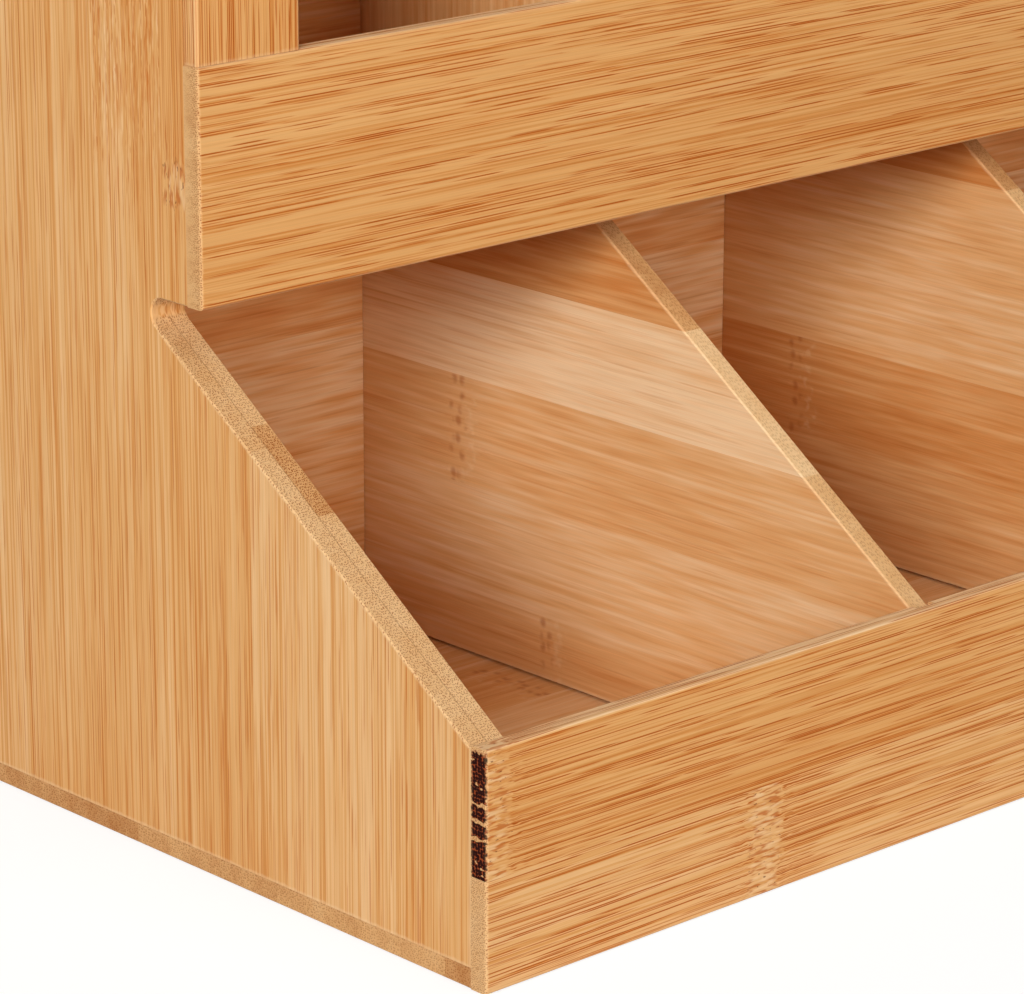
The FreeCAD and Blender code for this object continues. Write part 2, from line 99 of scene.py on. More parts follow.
class Graph:
    """Short calls for building a material's nodes."""

    def __init__(self, name):
        self.material = bpy.data.materials.new(name)
        self.material.use_nodes = True
        self.tree = self.material.node_tree
        self.tree.nodes.clear()

    def add(self, kind, **settings):
        node = self.tree.nodes.new(kind)
        for key, value in settings.items():
            setattr(node, key, value)
        return node

    def feed(self, socket, value):
        """Links an output to a socket, or sets the socket to a constant."""
        if isinstance(value, bpy.types.NodeSocket):
            self.tree.links.new(value, socket)
        else:
            socket.default_value = value

    def feed_all(self, sockets, values):
        for socket, value in zip(sockets, values):
            self.feed(socket, value)

    def math(self, operation, a, b=0.0, c=0.0, clamp=False):
        node = self.add("ShaderNodeMath", operation=operation, use_clamp=clamp)
        self.feed_all(node.inputs, (a, b, c))
        return node.outputs[0]

    def sum(self, *terms):
        """Sum of (value, factor) pairs, with plain values added as they are."""
        total = 0.0
        for term in terms:
            if isinstance(term, tuple):
                total = self.math("MULTIPLY_ADD", term[0], term[1], total)
            else:
                total = self.math("ADD", total, term)
        return total

    def times(self, *factors):
        result = factors[0]
        for factor in factors[1:]:
            result = self.math("MULTIPLY", result, factor)
        return result

    def apart(self, a, b):
        """Distance between two values."""
        return self.math("ABSOLUTE", self.math("SUBTRACT", a, b))

    def step(self, value, low, high, start=0.0, end=1.0):
        """Smooth rise from start to end while value goes from low to high."""
        node = self.add("ShaderNodeMapRange", interpolation_type="SMOOTHSTEP")
        self.feed_all(node.inputs, (value, low, high, start, end))
        return node.outputs[0]

    def fall(self, value, low, high):
        """Smooth fall from 1 to 0 while value goes from low to high."""
        return self.step(value, low, high, 1.0, 0.0)

    def share(self, value, low, high):
        """Straight rise from 0 to 1 while value goes from low to high."""
        node = self.add("ShaderNodeMapRange")
        self.feed_all(node.inputs, (value, low, high, 0.0, 1.0))
        return node.outputs[0]

    def join(self, x, y, z=0.0):
        node = self.add("ShaderNodeCombineXYZ")
        self.feed_all(node.inputs, (x, y, z))
        return node.outputs[0]

    def split(self, vector):
        node = self.add("ShaderNodeSeparateXYZ")
        self.feed(node.inputs[0], vector)
        return node.outputs

    def stretch(self, vector, factors, shift=(0.0, 0.0, 0.0)):
        node = self.add("ShaderNodeVectorMath", operation="MULTIPLY_ADD")
        self.feed_all(node.inputs, (vector, factors, shift))
        return node.outputs[0]

    def noise(self, vector, factors, shift=0.0, detail=1.0):
        """Noise about zero, mostly within one half each way, on a stretched vector."""
        offset = (shift * 1.7, shift * 0.9 + 3.1, shift * 2.3 - 1.7)
        node = self.add("ShaderNodeTexNoise", noise_dimensions="3D")
        self.feed(node.inputs["Vector"], self.stretch(vector, factors, offset))
        node.inputs["Scale"].default_value = 1.0
        node.inputs["Detail"].default_value = detail
        return self.math("MULTIPLY_ADD", node.outputs[0], 2.0, -1.0)

    def cells(self, vector, factors, randomness):
        """Nearest cell of a scattered pattern: its distance and its own random colour."""
        node = self.add("ShaderNodeTexVoronoi", voronoi_dimensions="2D", feature="F1")
        node.inputs["Scale"].default_value = 1.0
        node.inputs["Randomness"].default_value = randomness
        self.feed(node.inputs["Vector"], self.stretch(vector, factors))
        return node

    def mix(self, factor, a, b):
        """Colour a turned into colour b by factor."""
        node = self.add("ShaderNodeMix", data_type="RGBA")
        self.feed_all((node.inputs[0], node.inputs[6], node.inputs[7]), (factor, a, b))
        return node.outputs[2]

    def blend(self, factor, a, b):
        """Value a turned into value b by factor."""
        node = self.add("ShaderNodeMix", data_type="FLOAT")
        self.feed_all((node.inputs[0], node.inputs[2], node.inputs[3]), (factor, a, b))
        return node.outputs[0]

    def ramp(self, value, stops, interpolation="LINEAR"):
        node = self.add("ShaderNodeValToRGB")
        node.color_ramp.interpolation = interpolation
        elements = node.color_ramp.elements
        while len(elements) > 1:
            elements.remove(elements[-1])
        elements[0].position, elements[0].color = stops[0]
        for place, colour in stops[1:]:
            elements.new(place).color = colour
        self.feed(node.inputs[0], value)
        return node

    def surface(self, colour, roughness, height, depth, bump, **constants):
        """Principled surface whose bump height is in millimetres times depth."""
        relief = self.add("ShaderNodeBump")
        relief.inputs["Strength"].default_value = bump
        relief.inputs["Distance"].default_value = depth * MM
        self.feed(relief.inputs["Height"], height)
        shader = self.add("ShaderNodeBsdfPrincipled")
        self.feed(shader.inputs["Base Color"], colour)
        self.feed(shader.inputs["Roughness"], roughness)
        self.feed(shader.inputs["Normal"], relief.outputs[0])
        for name, value in constants.items():
            shader.inputs[name.replace("_", " ")].default_value = value
        out = self.add("ShaderNodeOutputMaterial")
        self.tree.links.new(shader.outputs[0], out.inputs["Surface"])
        return self.material


# Bamboo boards.

AXES = {"X": 0, "Y": 1, "Z": 2}

# Sloping front edge of the sides and dividers, as a line in Y and Z of the row frame, in millimetres.
SLOPE_FOOT = (4.0 - ORIGIN_Y, 44.4)
SLOPE_TOP = (96.3 - ORIGIN_Y, 107.5)
# The slope's arris ends this far before the slope's top, in the rounded notch.
NOTCH_START = 9.0

# What a board looks like where its own look doesn't say otherwise.
LOOK = {
    "palette": FACE_COLOURS,
    # Dark fibre bundles: their strength, their dark cores, how many more of them show, their spacing in mm.
    "streaks": 0.7,
    "cores": 1.0,
    "crowd": 0.0,
    "pitch": 0.52,
    # Changes of tone, from the widest to the finest.
    "calm": 0.16,
    "band": 0.22,
    "silk": 0.08,
    "soft": 0.16,
    "hair": 0.18,
    # Culm nodes as scars or as beads.
    "scars": 1.0,
    "beads": 0.0,
    # End grain: strength of the pores, and whether they crowd at the board's front.
    "pores": 0.62,
    "crowded_front": False,
    # Tone added to the whole long grain, to its narrow edges and to the end grain. The narrow edges' tone is
    # partly their own paler grain and partly painted light, which makes the lip's top face paler.
    "shade": 0.0,
    "edge_shade": 0.0,
    "end_shade": 0.0,
    # Paleness of the arrises, partly sanding wear and partly a painted edge highlight, and whether one of
    # them follows the slope.
    "wear": 0.36,
    "slope": False,
    # Places across the strips where the charred end grain is split, in millimetres.
    "char_gaps": (),
}

# Noise on a board: cycles per millimetre across the strips, through the board and along the grain, and a
# shift that sets it apart from the other noises.
NOISES = {
    "uneven": ((0.30, 0.30, 0.04), 0.0),
    "ragged": ((1.1, 1.1, 0.34), 0.4),
    "wander_across": ((0.05, 0.05, 0.006), 0.7),
    "wander_through": ((0.40, 0.30, 0.006), 1.3),
    "bands": ((0.20, 0.12, 0.0028), 2.1),
    "lines": ((0.95, 0.5, 0.004), 2.9),
    "hairs": ((2.5, 1.4, 0.012), 3.3),
    "fibre": ((5.5, 3.0, 0.06), 3.7),
    "drift": ((0.03, 0.03, 0.009), 4.3),
    "flicks": ((2.7, 1.4, 0.20), 4.9),
    "dashes": ((1.6, 1.2, 0.28), 5.2),
    "blotches": ((1.5, 1.1, 0.24), 5.5),
    "pits": ((2.2, 1.9, 0.8), 5.9),
    "torn": ((1.1, 0.7, 0.0), 6.1),
    "rim": ((1.7, 1.7, 0.0), 6.4),
    "bumps": ((0.55, 0.5, 0.45), 6.7),
    "silky": ((0.75, 0.5, 0.055), 7.3),
    "strokes": ((3.1, 1.6, 0.17), 8.1),
}
# Patches of a noise: where a patch begins and where it is full.
PATCHES = {
    "dashes": (-0.04, 0.20),
    "blotches": (-0.05, 0.40),
    "pits": (0.33, 0.48),
    "bumps": (-0.10, 0.45),
    "strokes": (0.10, 0.34),
}

# Reach of the marks in millimetres: full up to the first length, gone at the second.
SCAR_REACH = (2.6, 4.4)
PIT_REACH = (4.0, 5.5)
CHAR_REACH = (4.0, 6.5)
FLAME_REACH = (8.0, 20.0)
STIR_REACH = (3.0, 14.0)
FLECK_REACH = (24.0, 64.0)
DENT_REACH = (0.3, 2.4)
BUMP_REACH = (0.3, 2.8)
GLUE_REACH = (0.06, 0.16)
ARRIS_REACH = (0.15, 0.75)
# Lengths over which a mark begins, in millimetres.
FLAME_START = (3.0, 5.0)
BUNDLE_START = (2.8, 4.0)
CHAR_SPLIT_START = (0.15, 0.42)
CHAR_FACE_START = (-0.02, 0.34)
CHAR_EDGE_START = (0.35, 1.10)
# Places of the dents and of the bumps along the grain, from the culm node.
DENT_PLACE, BUMP_PLACE = 2.2, -1.6
# How far the bundles wander across the strips and through the board, in millimetres.
WANDER_ACROSS, WANDER_THROUGH = 1.1, 0.70

# Cells of the scattered patterns per millimetre: knots across and along the grain, and charred pores.
KNOT_CELLS = (0.31, 0.36, 1.0)
CHAR_CELLS = (1.55, 1.55, 1.0)
# Bundles lie this much closer through the board than across the strips.
FLATTER = 1.15
# Radius of the dots in cells: full up to the first, gone at the second.
DOT_RADIUS = (0.26, 0.52)
CORE_RADIUS = (0.10, 0.42)
PORE_RADIUS = (0.16, 0.44)
KNOT_RADIUS = (0.08, 0.50)
# Where the walls between charred pores begin and where they are full, in cells.
CHAR_WALL_START = (0.44, 0.66)

# Levels at which a bundle shows, a torn end is charred, and a weak char is brown rather than black.
BUNDLE_LEVEL = (-0.12, 0.26)
TORN_LEVEL = (-0.50, -0.40)
BROWN_LEVEL = (0.35, 0.95)
# Shares of the normal along the grain and across the strips that tell end grain and narrow edges.
END_FACING = (0.25, 0.60)
EDGE_FACING = (0.50, 0.80)

# How strongly each mark covers the colour under it.
STROKE_COVER = 0.60
BLOTCH_COVER = 0.45
DASH_COVER = 0.75
PIT_COVER = 0.8
DENT_COVER = 0.50
BUMP_HIGHLIGHT_COVER = 0.28
GLUE_COVER = 0.45
END_WEAR_AND_HIGHLIGHT = 0.06

# A culm node so far away that it leaves no mark, as a share of the board's length.
FAR = 9.0
# Strips by chance: how far the first may lie outside the board, how many have a culm node, their tones and
# their widths in millimetres.
FIRST_OFFSET = 14.0
NODE_CHANCE = 0.75
CHANCE_TONES = (0.40, 0.64)
CHANCE_WIDTHS = (19.0, 23.5)
# Every strip's luck, a number of its own.
LUCK = (0.05, 1.0)
# Numbers that give the inner ply its own draws, and each strip and bundle its own part of a pattern.
INNER_PLY = 50
STRIP_SHIFT = 91.0
BUNDLE_SHIFTS = (97.0, 61.0, 43.0)
# Hairs brighten the board no more than this.
BRIGHTEST_HAIR = 0.04

# Relief in millimetres and its strength, and the gloss.
RELIEF_DEPTH, RELIEF_STRENGTH = 0.035, 0.8
BOARD_SPECULAR = 0.12


class Strip:
    """One glued strip of a board: where it starts, how pale it is, where its culm node lies along the
    grain, and how flecked it is near that node."""

    def __init__(self, start, tone, node=None, fleck=0.0):
        self.start = start
        self.tone = tone
        self.node = node
        self.fleck = fleck


def chance_strips(seed, low, high, g_low, g_high):
    """Strips of a board that the picture doesn't show."""
    draw = random.Random(seed)
    strips = []
    place = low - draw.uniform(0.0, FIRST_OFFSET)
    while place < high:
        node = draw.uniform(g_low, g_high) if draw.random() < NODE_CHANCE else None
        strips.append(Strip(place, draw.uniform(*CHANCE_TONES), node))
        place += draw.uniform(*CHANCE_WIDTHS)
    return strips


class Board:
    """A board while its bamboo is built: its graph, its own axes in millimetres and its look. The
    functions that follow add the strips, bundles, tones and marks to it."""

    def __init__(self, node, grain, width, seed, look):
        low, high = (tuple(c / MM for c in corner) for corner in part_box(node))
        thick = ({"X", "Y", "Z"} - {grain, width}).pop()
        own_axes = [AXES[axis] for axis in (width, thick, grain)]
        self.span_w, self.span_t, self.span_g = ((low[axis], high[axis]) for axis in own_axes)
        self.seed = seed
        self.look = SimpleNamespace(**dict(LOOK, **look))
        self.graph = Graph("bamboo_" + node)
        n = self.graph
        coords = n.add("ShaderNodeTexCoord")
        self.place = n.split(n.stretch(coords.outputs["Object"], (1.0 / MM,) * 3))
        self.w, self.t, self.g = (self.place[axis] for axis in own_axes)
        self.solid = n.join(self.w, self.t, self.g)
        facing = n.split(coords.outputs["Normal"])
        self.across = n.step(n.math("ABSOLUTE", facing[AXES[grain]]), *END_FACING)
        self.on_edge = n.step(n.math("ABSOLUTE", facing[AXES[width]]), *EDGE_FACING)

    def noise(self, name):
        """One of the NOISES."""
        factors, shift = NOISES[name]
        return self.graph.noise(self.solid, factors, self.seed + shift)

    def patches(self, name):
        """One of the PATCHES: 1 inside them, 0 between them."""
        return self.graph.step(self.noise(name), *PATCHES[name])


def strip_values(board, strips, seed):
    """Tone, culm node, fleck and luck of the strip at each place across the board."""
    n = board.graph
    draw = random.Random(seed * 7 + 1)
    (w_low, w_high), (g_low, g_high) = board.span_w, board.span_g
    stops = []
    for strip in strips:
        place = min(max((strip.start - w_low) / (w_high - w_low), 0.0), 1.0)
        node = FAR if strip.node is None else (strip.node - g_low) / (g_high - g_low)
        stops.append((place, (strip.tone, node, strip.fleck, draw.uniform(*LUCK))))
    table = n.ramp(n.share(board.w, w_low, w_high), stops, "CONSTANT")
    parts = n.add("ShaderNodeSeparateColor")
    n.feed(parts.inputs[0], table.outputs["Color"])
    return [*parts.outputs, table.outputs["Alpha"]]


def lay_strips(board, strips, inner):
    """Strips of the outer ply, and those of the inner ply behind the glue line."""
    n = board.graph
    values = strip_values(board, strips, board.seed)
    board.glue = None
    if inner is not None:
        middle = sum(board.span_t) / 2.0
        behind = n.math("GREATER_THAN", board.t, middle)
        others = strip_values(board, inner, board.seed + INNER_PLY)
        values = [n.blend(behind, a, b) for a, b in zip(values, others)]
        board.glue = n.fall(n.apart(board.t, middle), *GLUE_REACH)
    board.tone, board.node_at, board.fleck, board.luck = values


def find_culm_node(board):
    """Distance along the grain from the strip's culm node, with an uneven front."""
    n = board.graph
    g_low, g_high = board.span_g
    node_g = n.math("MULTIPLY_ADD", board.node_at, g_high - g_low, g_low)
    board.ragged = board.noise("ragged")
    uneven_g = n.sum(board.g, (board.noise("uneven"), 2.2), (board.ragged, 1.4))
    board.past_node = n.math("SUBTRACT", uneven_g, node_g)
    board.reach = n.math("ABSOLUTE", board.past_node)
    board.scar = n.fall(board.reach, *SCAR_REACH)
    board.flecked = n.times(board.fleck, n.fall(board.reach, *FLECK_REACH))


def lay_tones(board):
    """Soft tone bands, thin soft streaks and fine fibre. Hairs darken the board and hardly brighten it."""
    board.bands = board.noise("bands")
    board.lines = board.noise("lines")
    board.hairs = board.graph.math("MINIMUM", board.noise("hairs"), BRIGHTEST_HAIR)
    board.fibre = board.noise("fibre")
    board.drift = board.noise("drift")
    board.flicks = board.noise("flicks")
    board.silky = board.noise("silky")


def lay_bundles(board):
    """Fibre bundles: dots across the grain that wander slowly along it."""
    n = board.graph
    stirred = n.times(board.ragged, n.step(board.reach, *STIR_REACH, 0.5, 0.0))
    u = n.sum(board.w, (board.noise("wander_across"), WANDER_ACROSS), (stirred, 1.0))
    v = n.sum(board.t, (board.noise("wander_through"), WANDER_THROUGH),
              (n.times(board.ragged, board.flecked), 0.5), (board.luck, STRIP_SHIFT))
    pitch = board.look.pitch
    cells = n.cells(n.join(u, v), (1.0 / pitch, FLATTER / pitch, 1.0), 0.72)
    board.spread = cells.outputs["Distance"]
    board.own = n.split(cells.outputs["Color"])


def fade_bundles(board):
    """Every bundle comes and goes along the grain in its own way, and stops at the scar."""
    n = board.graph
    own = board.own
    along, second, third = BUNDLE_SHIFTS
    path = n.join(n.sum((board.g, 0.05), (own[0], along)), n.times(own[1], second), n.times(own[2], third))
    own_way = n.noise(path, (1.0, 1.0, 1.0), board.seed)
    past_own_stop = n.sum(board.past_node, (own[2], 2.6), -1.3)
    clear = n.step(n.math("ABSOLUTE", past_own_stop), *BUNDLE_START)
    flame = n.times(n.step(board.past_node, *FLAME_START), n.fall(board.past_node, *FLAME_REACH))
    wish = n.sum(own_way, (board.bands, -0.30), (flame, 0.30), board.look.crowd)
    present = n.times(clear, n.step(wish, *BUNDLE_LEVEL))
    thin = n.math("MULTIPLY_ADD", present, -0.30, n.math("ADD", board.spread, 0.30))
    board.dot = n.times(present, n.fall(thin, *DOT_RADIUS))
    board.core = n.times(present, n.fall(thin, *CORE_RADIUS))
    board.weight = n.step(own[0], 0.05, 0.75, 0.55, 1.0)


def long_grain(board):
    """Colour where the fibres lie along the surface."""
    n = board.graph
    look = board.look
    # The narrow edges' added tone is partly painted light, such as on the lip's top face.
    level = n.sum(board.tone, (board.bands, look.band), (board.lines, look.soft), (board.hairs, look.hair),
                  (board.silky, look.silk), (board.drift, look.calm),
                  (n.times(board.flecked, board.flicks), 0.40), (board.on_edge, look.edge_shade), look.shade)
    face = n.ramp(level, look.palette).outputs["Color"]
    streak = n.math("MULTIPLY", n.times(board.dot, board.weight), look.streaks, clamp=True)
    face = n.mix(streak, face, STREAK)
    heart = n.times(board.core, board.weight, board.weight)
    face = n.mix(n.math("MULTIPLY", heart, look.streaks * look.cores, clamp=True), face, CORE)
    strokes = n.times(board.flecked, board.patches("strokes"), STROKE_COVER)
    return n.mix(strokes, face, STREAK)


def node_scars(board, face):
    """Culm nodes of the boards with dark bundles: pale blotches, short dashes and pits."""
    n = board.graph
    scars = board.look.scars
    blotches = n.times(board.scar, board.patches("blotches"))
    face = n.mix(n.math("MULTIPLY", blotches, BLOTCH_COVER * scars), face, SANDED_AND_HIGHLIGHT)
    dashes = n.times(board.scar, board.patches("dashes"))
    board.dashes = n.times(dashes, n.math("SUBTRACT", 1.0, blotches))
    face = n.mix(n.math("MULTIPLY", board.dashes, DASH_COVER * scars), face, DASH)
    board.pits = n.times(board.patches("pits"), n.fall(board.reach, *PIT_REACH))
    return n.mix(n.math("MULTIPLY", board.pits, PIT_COVER * scars), face, PIT)


def node_beads(board, face):
    """Culm nodes of the plain boards: a row of soft brown dents beside a row of bumps. The dents' brown is
    partly the nodes' own marks and partly painted shade in the dents; the bumps' paleness is a painted
    highlight.
    """
    n = board.graph
    beads = board.look.beads
    knots = n.cells(n.join(board.w, board.g), KNOT_CELLS, 0.7).outputs["Distance"]
    dent_row = n.fall(n.apart(board.past_node, DENT_PLACE), *DENT_REACH)
    bump_row = n.fall(n.apart(board.past_node, BUMP_PLACE), *BUMP_REACH)
    board.dents = n.times(dent_row, n.fall(knots, *KNOT_RADIUS))
    board.bumps = n.times(bump_row, board.patches("bumps"))
    # Brown in the dents, partly painted shade, and pale on the bumps, a painted highlight.
    face = n.mix(n.math("MULTIPLY", board.dents, DENT_COVER * beads), face, BEAD)
    return n.mix(n.math("MULTIPLY", board.bumps, BUMP_HIGHLIGHT_COVER * beads), face, SANDED_AND_HIGHLIGHT)


def measure_insets(board):
    """Distances to the board's faces: across the strips, through the board, along the grain, to the slope."""
    n = board.graph
    board.insets = []
    for value, (low, high) in ((board.w, board.span_w), (board.t, board.span_t), (board.g, board.span_g)):
        board.insets.append(n.math("SUBTRACT", (high - low) / 2.0, n.apart(value, (low + high) / 2.0)))
    if board.look.slope:
        run, rise = SLOPE_TOP[0] - SLOPE_FOOT[0], SLOPE_TOP[1] - SLOPE_FOOT[1]
        length = (run * run + rise * rise) ** 0.5
        depth, height = board.place[AXES["Y"]], board.place[AXES["Z"]]
        past = n.sum((depth, rise / length), (height, -run / length),
                     (run * SLOPE_FOOT[1] - rise * SLOPE_FOOT[0]) / length)
        beyond = n.math("SUBTRACT", depth, SLOPE_TOP[0] - NOTCH_START)
        board.insets.append(n.math("MAXIMUM", n.math("ABSOLUTE", past), beyond))


def end_pores(board):
    """Pores of the end grain: the bundles seen end on."""
    n = board.graph
    pores = n.math("MULTIPLY", n.fall(board.spread, *PORE_RADIUS), board.look.pores, clamp=True)
    by_bundle = n.step(board.own[1], 0.0, 0.7, 0.35, 1.0)
    by_strip = n.step(board.tone, 0.30, 0.58, 1.5, 1.0)
    pores = n.times(pores, by_bundle, by_strip)
    if board.look.crowded_front:
        uneven_t = n.math("MULTIPLY_ADD", board.lines, 1.5, board.t)
        pores = n.times(pores, n.step(uneven_t, *board.span_t, 1.15, 0.12))
    return pores


def char_end(board, end):
    """End grain charred where it cuts through a culm node, with a ragged brown rim."""
    n = board.graph
    torn = board.noise("torn")
    char = n.times(n.fall(board.reach, *CHAR_REACH), n.step(torn, *TORN_LEVEL))
    for gap in board.look.char_gaps:
        off = n.math("ABSOLUTE", n.sum(board.w, (torn, 0.9), -gap))
        char = n.times(char, n.step(off, *CHAR_SPLIT_START))
    rim = board.noise("rim")
    inset_w, inset_t = board.insets[:2]
    board.char = n.times(char, n.step(n.sum(inset_t, (rim, 0.5)), *CHAR_FACE_START),
                         n.step(n.sum(inset_w, (rim, 0.9)), *CHAR_EDGE_START))
    holes = n.cells(n.join(board.w, board.t), CHAR_CELLS, 0.55).outputs["Distance"]
    walls = n.math("MAXIMUM", n.step(holes, *CHAR_WALL_START), n.fall(board.char, *BROWN_LEVEL))
    return n.mix(board.char, end, n.mix(walls, SCORCH, SCORCH_WALL))


def end_grain(board):
    """Colour where the surface cuts across the fibres."""
    n = board.graph
    level = n.sum(board.tone, (board.bands, 0.20), (board.lines, 0.12), board.look.end_shade)
    end = n.ramp(level, END_COLOURS).outputs["Color"]
    end = n.mix(end_pores(board), end, PORE)
    end = char_end(board, end)
    if board.glue is not None:
        end = n.mix(n.times(board.glue, GLUE_COVER), end, GLUE)
    return end


def pale_arrises_wear_and_highlight(board, colour):
    """Paler arrises, partly sanding wear and partly a painted edge highlight: an arris is near where the
    second smallest distance to the faces is small.
    """
    n = board.graph
    wear = board.look.wear
    nearest = n.math("MINIMUM", *board.insets[:2])
    second = n.math("MAXIMUM", *board.insets[:2])
    for inset in board.insets[2:]:
        second = n.math("MINIMUM", second, n.math("MAXIMUM", nearest, inset))
        nearest = n.math("MINIMUM", nearest, inset)
    board.edge = n.fall(n.math("MULTIPLY_ADD", board.lines, 0.35, second), *ARRIS_REACH)
    worn_and_lit = n.times(board.edge, n.math("MULTIPLY_ADD", board.across, END_WEAR_AND_HIGHLIGHT - wear, wear))
    return n.mix(worn_and_lit, colour, SANDED_AND_HIGHLIGHT)


def finish_bamboo(board, colour):
    """Hair-fine light and dark on everything, with the gloss and the relief of the marks."""
    n = board.graph
    scars, beads = board.look.scars, board.look.beads
    tinted = n.add("ShaderNodeVectorMath", operation="SCALE")
    n.feed(tinted.inputs[0], colour)
    n.feed(tinted.inputs["Scale"], n.math("MULTIPLY_ADD", board.fibre, 0.10, 1.0))
    roughness = n.sum(0.47, (board.dot, 0.10), (board.fibre, 0.05), (board.across, 0.16), (board.edge, 0.06),
                      (n.times(board.char, board.across), 0.30))
    groove = n.times(board.dot, n.math("MULTIPLY_ADD", board.across, -0.8, 1.0))
    height = n.sum((groove, -0.45), (board.fibre, 0.25), (n.times(board.ragged, board.scar), 1.2),
                   (n.times(board.flicks, board.flecked), 0.5), (board.dashes, -1.0 * scars),
                   (board.pits, -0.9 * scars), (board.dents, -3.0 * beads), (board.bumps, 3.0 * beads),
                   (board.hairs, 0.25))
    return n.surface(tinted.outputs[0], roughness, height, RELIEF_DEPTH, RELIEF_STRENGTH,
                     Specular_IOR_Level=BOARD_SPECULAR)


def bamboo(node, grain, width, seed, strips=None, inner=None, **look):
    """Solid bamboo texture of one board: fibres run along grain, strips lie side by side along
    width, and the same fibres show as streaks on the faces and as dots on the end grain."""
    board = Board(node, grain, width, seed, look)
    if strips is None:
        strips = chance_strips(seed, *board.span_w, *board.span_g)
    lay_strips(board, strips, inner)
    find_culm_node(board)
    lay_tones(board)
    lay_bundles(board)
    fade_bundles(board)
    measure_insets(board)
    face = node_beads(board, node_scars(board, long_grain(board)))
    colour = board.graph.mix(board.across, face, end_grain(board))
    return finish_bamboo(board, pale_arrises_wear_and_highlight(board, colour))


def put(node, material):
    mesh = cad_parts[node].data
    mesh.materials.clear()
    mesh.materials.append(material)


def dress(node, **options):
    """Gives a CAD node its own bamboo."""
    put(node, bamboo(node, **options))


def bx(value):
    """X in the row frame of a place counted from the box's left side."""
    return value - ORIGIN_X


def by(value):
    """Y in the row frame of a place counted from the box's front."""
    return value - ORIGIN_Y


# Looks that several boards share.
# On the front boards the edge tone is partly painted light on the narrow edges.
FRONT = {"streaks": 0.98, "crowd": 0.16, "calm": 0.08, "band": 0.05, "soft": 0.06, "silk": 0.04,
         "hair": 0.66, "edge_shade": 0.38, "shade": 0.01, "wear": 0.20}
SIDE = {"streaks": 0.56, "cores": 0.5, "pitch": 0.42, "band": 0.15, "soft": 0.10, "hair": 0.80,
        "shade": 0.05, "slope": True}
PLAIN = {"palette": PALE_COLOURS, "streaks": 0.16, "cores": 0.2, "band": 0.10, "silk": 0.24, "hair": 0.09,
         "scars": 0.0, "beads": 1.0}
BOUNCE_WARMED = dict(PLAIN, palette=BOUNCE_WARMED_COLOURS, streaks=0.24, band=0.16, silk=0.46, hair=0.14)
END_STILE = dict(FRONT, pitch=0.38, edge_shade=0.18)
TRAY_DIVIDER = dict(PLAIN, slope=True, end_shade=0.12, pores=0.32)
CELL = dict(PLAIN, shade=0.02)

# Strips of the boards that the picture shows.
LIP_STRIPS = [Strip(0.0, 0.67, bx(68.5)), Strip(21.0, 0.53, bx(1.2))]
LINTEL_STRIPS = [Strip(107.5, 0.50, bx(291.0)), Strip(127.5, 0.53)]
SIDE_STRIPS = [
    Strip(by(4.0), 0.61), Strip(by(18.0), 0.62), Strip(by(40.0), 0.64), Strip(by(62.0), 0.53, 129.4),
    Strip(by(85.0), 0.57, 176.0, 1.0), Strip(by(105.0), 0.55), Strip(by(127.0), 0.59, 215.0),
    Strip(by(148.0), 0.54)]
INNER_SIDE_STRIPS = [
    Strip(by(4.0), 0.66), Strip(by(26.0), 0.64), Strip(by(48.0), 0.30), Strip(by(66.4), 0.62),
    Strip(by(88.0), 0.58, 190.0), Strip(by(110.0), 0.64), Strip(by(132.0), 0.58, 60.0)]
BASE_STRIPS = [
    Strip(by(4.0), 0.24), Strip(by(10.4), 0.46, bx(30.0)), Strip(by(33.0), 0.44),
    Strip(by(56.0), 0.38, bx(190.0)), Strip(by(75.8), 0.40), Strip(by(96.6), 0.24, bx(103.0)),
    Strip(by(118.1), 0.32), Strip(by(140.0), 0.30)]
BACK_STRIPS = [
    Strip(0.0, 0.52, bx(40.0)), Strip(22.0, 0.60), Strip(46.5, 0.74, bx(150.0)), Strip(69.0, 0.46),
    Strip(91.0, 0.36), Strip(112.0, 0.44, bx(240.0)), Strip(134.0, 0.50), Strip(155.0, 0.40, bx(60.0)),
    Strip(177.0, 0.52), Strip(198.0, 0.45, bx(290.0)), Strip(219.0, 0.55), Strip(241.0, 0.42, bx(120.0))]
# The low tone of the top strip (85.5) is painted shade under the lintel and shelf.
DIVIDER_1_STRIPS = [
    Strip(4.6, 0.40, by(101.0)), Strip(17.4, 0.50), Strip(40.5, 0.42, by(128.0)), Strip(63.3, 0.70),
    Strip(85.5, 0.22)]
# The low tone of the top strip (94.0) is painted shade under the lintel and shelf.
DIVIDER_2_STRIPS = [
    Strip(4.6, 0.34), Strip(28.0, 0.24, by(134.4)), Strip(50.5, 0.46), Strip(72.4, 0.42),
    Strip(94.0, 0.10)]


# Front boards.
dress("tray_lip", grain="X", width="Z", seed=3, strips=LIP_STRIPS, pitch=0.34, end_shade=-0.04,
      pores=0.85, char_gaps=(34.7, 31.6, 28.4), **FRONT)
dress("lintel", grain="X", width="Z", seed=5, strips=LINTEL_STRIPS, pitch=0.36, end_shade=-0.10, pores=0.8,
      crowded_front=True, **FRONT)

# Sides, base and back.
dress("side_panel_left", grain="Z", width="Y", seed=8, strips=SIDE_STRIPS, inner=INNER_SIDE_STRIPS,
      end_shade=0.02, pores=0.80, **SIDE)
dress("side_panel_right", grain="Z", width="Y", seed=9, end_shade=-0.10, pores=0.42,
      inner=chance_strips(71, low=by(4.0), high=by(160.0), g_low=4.0, g_high=260.0), **SIDE)
dress("base_panel", grain="X", width="Y", seed=11, strips=BASE_STRIPS, shade=0.34, end_shade=-0.02,
      pores=0.44, **PLAIN)
